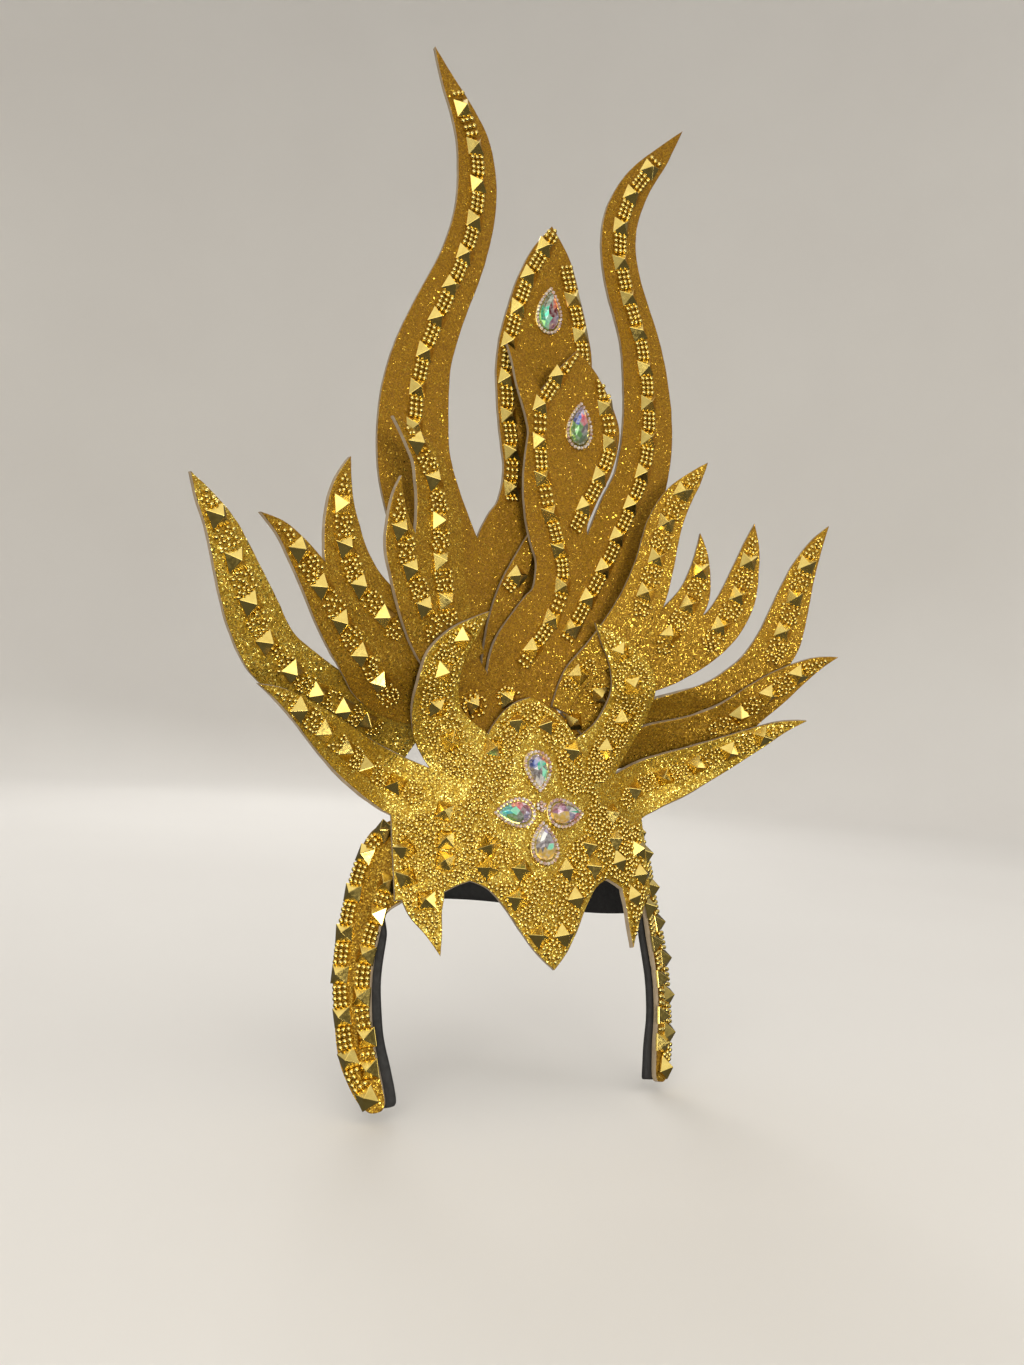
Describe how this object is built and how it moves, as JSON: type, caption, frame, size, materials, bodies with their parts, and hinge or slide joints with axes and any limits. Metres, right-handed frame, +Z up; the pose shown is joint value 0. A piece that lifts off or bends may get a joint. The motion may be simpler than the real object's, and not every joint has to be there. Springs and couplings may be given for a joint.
{
  "type": "flame carnival crown headpiece",
  "caption": "Tall carnival crown of layered gold glitter foam flames with pyramid-stud trim, iridescent pear crystals and curved cheek guards, held by a band at the nape.",
  "frame": {"origin": "middle of the wearer's head at the height of the temples, where the crown sits", "axes": "+Z up, -Y the way the wearer faces, +X to the right as seen from the front"},
  "size_m": [0.369, 0.1953, 0.5572],
  "materials": {
    "glitter_foam": "gold glitter over foam sheet",
    "stud_trim": "polished pale gold plating",
    "black_foam": "matte black foam",
    "crystal": "cut, iridescent coating"
  },
  "bodies": {
    "root": {"tall_rear_plate": "glitter_foam", "inner_left_flame": "glitter_foam", "tall_front_plate": "glitter_foam", "side_left_rear_plate": "glitter_foam", "side_left_middle_plate": "glitter_foam", "side_left_front_plate": "glitter_foam", "side_right_front_plate": "glitter_foam", "side_right_middle_plate": "glitter_foam", "side_right_rear_plate": "glitter_foam", "side_right_low_plate": "glitter_foam", "forehead_plate": "glitter_foam", "left_cheek_guard": "glitter_foam", "right_cheek_guard": "glitter_foam", "left_guard_lining": "black_foam", "right_guard_lining": "black_foam", "nape_band": "black_foam", "left_tall_trim": "stud_trim", "leaf_a_left_trim": "stud_trim", "leaf_a_right_trim": "stud_trim", "inner_left_trim": "stud_trim", "right_tall_trim": "stud_trim", "leaf_b_stem_trim": "stud_trim", "leaf_b_right_trim": "stud_trim", "side_left_1_trim": "stud_trim", "side_left_2_trim": "stud_trim", "side_left_3_trim": "stud_trim", "side_left_4_trim": "stud_trim", "side_left_5_trim": "stud_trim", "side_left_6_trim": "stud_trim", "side_right_1_trim": "stud_trim", "side_right_2_trim": "stud_trim", "side_right_3_trim": "stud_trim", "side_right_4_trim": "stud_trim", "side_right_5_trim": "stud_trim", "side_right_6_trim": "stud_trim", "side_right_6_low_trim": "stud_trim", "left_horn_trim": "stud_trim", "right_horn_trim": "stud_trim", "left_guard_outer_trim": "stud_trim", "left_guard_inner_trim": "stud_trim", "right_guard_outer_trim": "stud_trim", "right_guard_inner_trim": "stud_trim", "forehead_trim": "stud_trim", "emblem_top_crystal": "crystal", "emblem_left_crystal": "crystal", "emblem_right_crystal": "crystal", "emblem_bottom_crystal": "crystal", "leaf_a_crystal": "crystal", "leaf_b_crystal": "crystal"}
  },
  "joints": []
}
